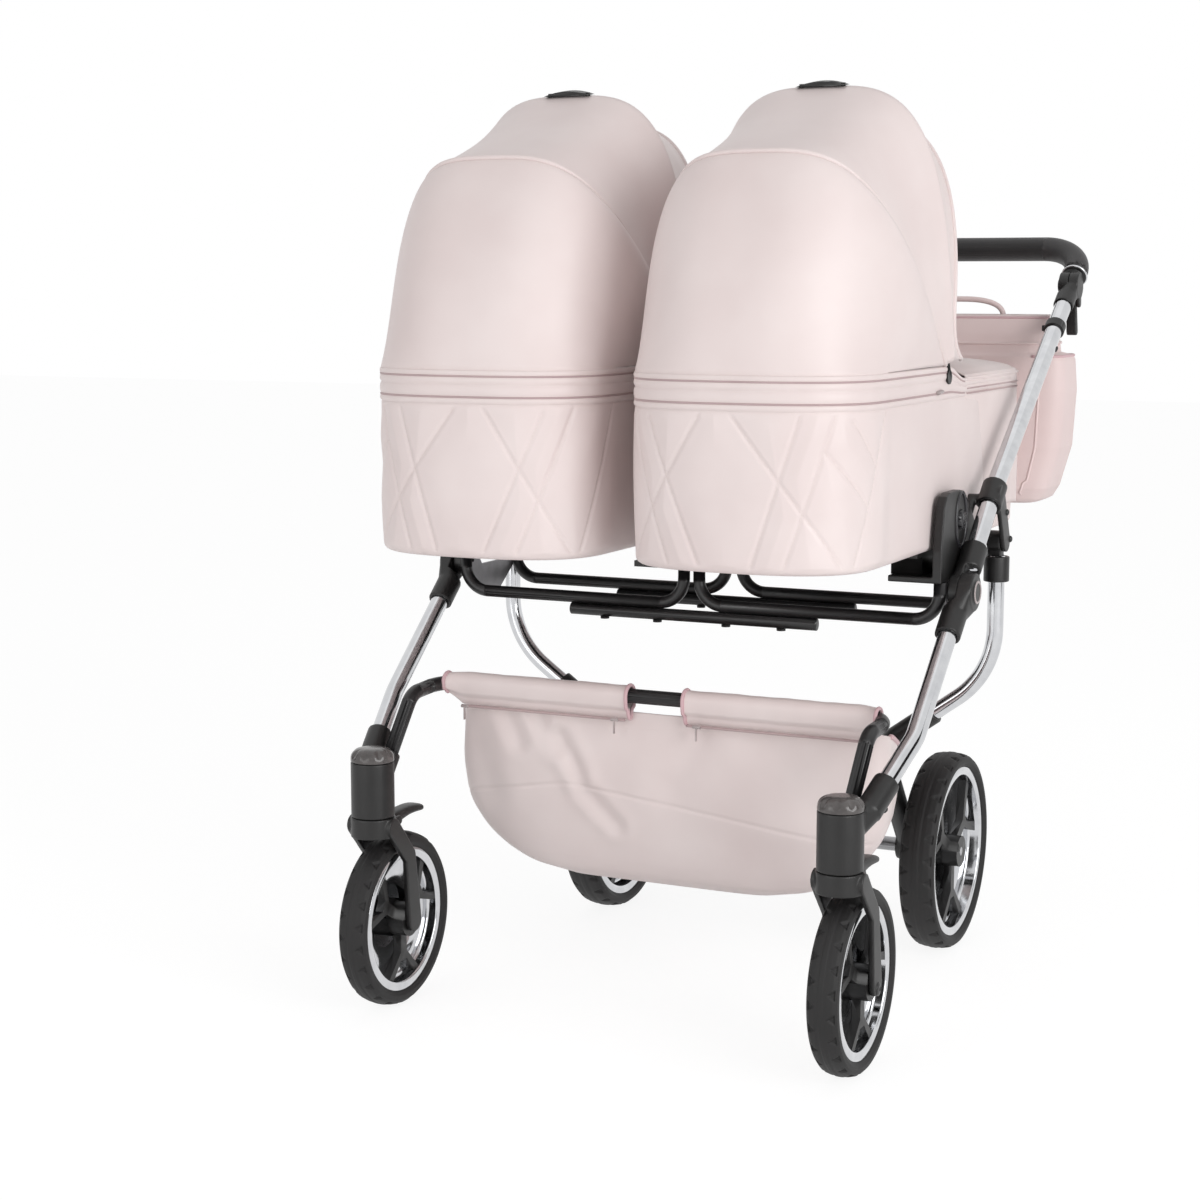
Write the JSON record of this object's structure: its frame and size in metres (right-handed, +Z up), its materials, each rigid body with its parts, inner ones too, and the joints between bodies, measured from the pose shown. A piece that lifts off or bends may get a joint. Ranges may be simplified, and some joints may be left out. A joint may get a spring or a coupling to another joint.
{
  "type": "twin pram",
  "caption": "Side-by-side twin pram: hooded carrycots on a folding chrome frame with swivelling front wheels, an under-basket and a bag on a tilting handle.",
  "frame": {"origin": "middle of the overall box, on the ground the wheels stand on", "axes": "+Z up, X across the pram, the front wheels face -Y and the handle is at +Y"},
  "size_m": [0.7682, 0.9901, 1.1944],
  "materials": {
    "chrome_tube": "polished",
    "black_plastic": "fine grain",
    "grey_steel": "satin",
    "black_steel": "satin powder coat",
    "bolt_black": "satin",
    "axle_steel": "brushed",
    "smoke_plastic": "smoky gloss",
    "bag_leatherette": "smooth leatherette",
    "leatherette": "smooth leatherette",
    "grip_leather": "stitched leatherette wrap",
    "button_plastic": "gloss",
    "tyre_rubber": "matt",
    "chrome_rim": "polished",
    "mattress_cloth": "cotton"
  },
  "bodies": {
    "upper_frame": {"handle_tubes": "chrome_tube", "handle_joints": "black_plastic", "fold_joint_sleeves": "black_plastic", "leg_brackets": "black_plastic", "side_plates": "grey_steel", "outer_adaptors": "black_plastic", "inner_adaptors": "black_plastic", "cradle_tubes": "black_steel", "splice_tubes": "black_steel", "cradle_bolts": "bolt_black", "bag": "bag_leatherette", "bag_hooks": "black_plastic"},
    "handle": {"handle_arms": "black_plastic", "handle_grip": "grip_leather"},
    "front_frame": {"front_legs": "chrome_tube", "fold_joint_covers": "black_plastic", "caster_sockets": "black_plastic", "caster_caps": "smoke_plastic", "basket_bar": "black_steel", "basket": "leatherette"},
    "rear_frame": {"rear_legs": "chrome_tube", "rear_leg_sleeves": "black_plastic", "rear_axle": "axle_steel"},
    "brake": {"brake_pedal": "black_plastic"},
    "handle_push_left": {"handle_button_left": "button_plastic"},
    "trigger_left": {"fold_trigger_left": "black_plastic"},
    "release_left": {"release_button_left": "button_plastic"},
    "caster_left": {"fork_left": "black_plastic"},
    "swivel_lock_left": {"lock_lever_left": "black_plastic"},
    "front_wheel_left": {"front_tyre_left": "tyre_rubber", "front_rim_left": "chrome_rim", "front_spider_left": "black_plastic"},
    "rear_wheel_left": {"rear_tyre_left": "tyre_rubber", "rear_rim_left": "chrome_rim", "rear_spider_left": "black_plastic"},
    "carrycot_left": {"tub_left": "leatherette", "cot_base_left": "black_plastic", "mattress_left": "mattress_cloth", "apron_left": "leatherette", "hood_back_left": "leatherette"},
    "hood_left": {"hood_roof_left": "leatherette", "hood_bow_left": "black_plastic"},
    "handle_push_right": {"handle_button_right": "button_plastic"},
    "trigger_right": {"fold_trigger_right": "black_plastic"},
    "release_right": {"release_button_right": "button_plastic"},
    "caster_right": {"fork_right": "black_plastic"},
    "swivel_lock_right": {"lock_lever_right": "black_plastic"},
    "front_wheel_right": {"front_tyre_right": "tyre_rubber", "front_rim_right": "chrome_rim", "front_spider_right": "black_plastic"},
    "rear_wheel_right": {"rear_tyre_right": "tyre_rubber", "rear_rim_right": "chrome_rim", "rear_spider_right": "black_plastic"},
    "carrycot_right": {"tub_right": "leatherette", "cot_base_right": "black_plastic", "mattress_right": "mattress_cloth", "apron_right": "leatherette", "hood_back_right": "leatherette"},
    "hood_right": {"hood_roof_right": "leatherette", "hood_bow_right": "black_plastic"}
  },
  "joints": [
    {"name": "handle_tilt", "type": "hinge", "parent": "upper_frame", "child": "handle", "pos_m": [0, 0.4045, 0.938], "axis": [1, 0, 0], "range_deg": [-45, 35]},
    {"name": "front_leg_fold", "type": "hinge", "parent": "upper_frame", "child": "front_frame", "pos_m": [0, -0.1145, 0.555], "axis": [1, 0, 0], "range_deg": [0, 80], "deforming": ["basket"]},
    {"name": "rear_leg_fold", "type": "hinge", "parent": "upper_frame", "child": "rear_frame", "pos_m": [0, 0.0455, 0.603], "axis": [1, 0, 0], "range_deg": [0, 30]},
    {"name": "brake_push", "type": "hinge", "parent": "rear_frame", "child": "brake", "pos_m": [0, 0.1815, 0.14], "axis": [1, 0, 0], "range_deg": [-18, 0]},
    {"name": "handle_button_left_press", "type": "slide", "parent": "handle", "child": "handle_push_left", "axis": [-1, 0, 0], "range_m": [0, 0.003], "stiffness_N_per_m": 400},
    {"name": "fold_trigger_left_pull", "type": "hinge", "parent": "upper_frame", "child": "trigger_left", "pos_m": [-0.363, 0.4115, 0.912], "axis": [1, 0, 0], "range_deg": [0, 18], "stiffness_Nm_per_rad": 0.4},
    {"name": "release_button_left_press", "type": "slide", "parent": "upper_frame", "child": "release_left", "axis": [1, 0, 0], "range_m": [0, 0.0035], "stiffness_N_per_m": 400},
    {"name": "caster_left_swivel", "type": "hinge", "parent": "front_frame", "child": "caster_left", "pos_m": [-0.3175, -0.4315, 0.262], "axis": [0, 0, 1], "continuous": true},
    {"name": "swivel_lock_left_lift", "type": "hinge", "parent": "caster_left", "child": "swivel_lock_left", "pos_m": [-0.3175, -0.3935, 0.25], "axis": [1, 0, 0], "range_deg": [0, 22]},
    {"name": "front_wheel_left_spin", "type": "hinge", "parent": "caster_left", "child": "front_wheel_left", "pos_m": [-0.3175, -0.3805, 0.1145], "axis": [1, 0, 0], "continuous": true},
    {"name": "rear_wheel_left_spin", "type": "hinge", "parent": "rear_frame", "child": "rear_wheel_left", "pos_m": [-0.259, 0.1815, 0.14], "axis": [1, 0, 0], "continuous": true},
    {"name": "carrycot_left_lift", "type": "slide", "parent": "upper_frame", "child": "carrycot_left", "axis": [0, 0, 1], "range_m": [0, 0.25]},
    {"name": "hood_left_fold", "type": "hinge", "parent": "carrycot_left", "child": "hood_left", "pos_m": [-0.177, -0.0855, 0.824], "axis": [1, 0, 0], "range_deg": [0, 29], "deforming": ["hood_roof_left"]},
    {"name": "handle_button_right_press", "type": "slide", "parent": "handle", "child": "handle_push_right", "axis": [1, 0, 0], "range_m": [0, 0.003], "stiffness_N_per_m": 400},
    {"name": "fold_trigger_right_pull", "type": "hinge", "parent": "upper_frame", "child": "trigger_right", "pos_m": [0.363, 0.4115, 0.912], "axis": [1, 0, 0], "range_deg": [0, 18], "stiffness_Nm_per_rad": 0.4},
    {"name": "release_button_right_press", "type": "slide", "parent": "upper_frame", "child": "release_right", "axis": [-1, 0, 0], "range_m": [0, 0.0035], "stiffness_N_per_m": 400},
    {"name": "caster_right_swivel", "type": "hinge", "parent": "front_frame", "child": "caster_right", "pos_m": [0.3175, -0.4315, 0.262], "axis": [0, 0, 1], "continuous": true},
    {"name": "swivel_lock_right_lift", "type": "hinge", "parent": "caster_right", "child": "swivel_lock_right", "pos_m": [0.3175, -0.3935, 0.25], "axis": [1, 0, 0], "range_deg": [0, 22]},
    {"name": "front_wheel_right_spin", "type": "hinge", "parent": "caster_right", "child": "front_wheel_right", "pos_m": [0.3175, -0.3805, 0.1145], "axis": [1, 0, 0], "continuous": true},
    {"name": "rear_wheel_right_spin", "type": "hinge", "parent": "rear_frame", "child": "rear_wheel_right", "pos_m": [0.259, 0.1815, 0.14], "axis": [1, 0, 0], "continuous": true},
    {"name": "carrycot_right_lift", "type": "slide", "parent": "upper_frame", "child": "carrycot_right", "axis": [0, 0, 1], "range_m": [0, 0.25]},
    {"name": "hood_right_fold", "type": "hinge", "parent": "carrycot_right", "child": "hood_right", "pos_m": [0.177, -0.0855, 0.824], "axis": [1, 0, 0], "range_deg": [0, 29], "deforming": ["hood_roof_right"]}
  ],
  "couplings": [
    {"joint": "rear_leg_fold", "follows": "front_leg_fold", "ratio": 0.375}
  ]
}
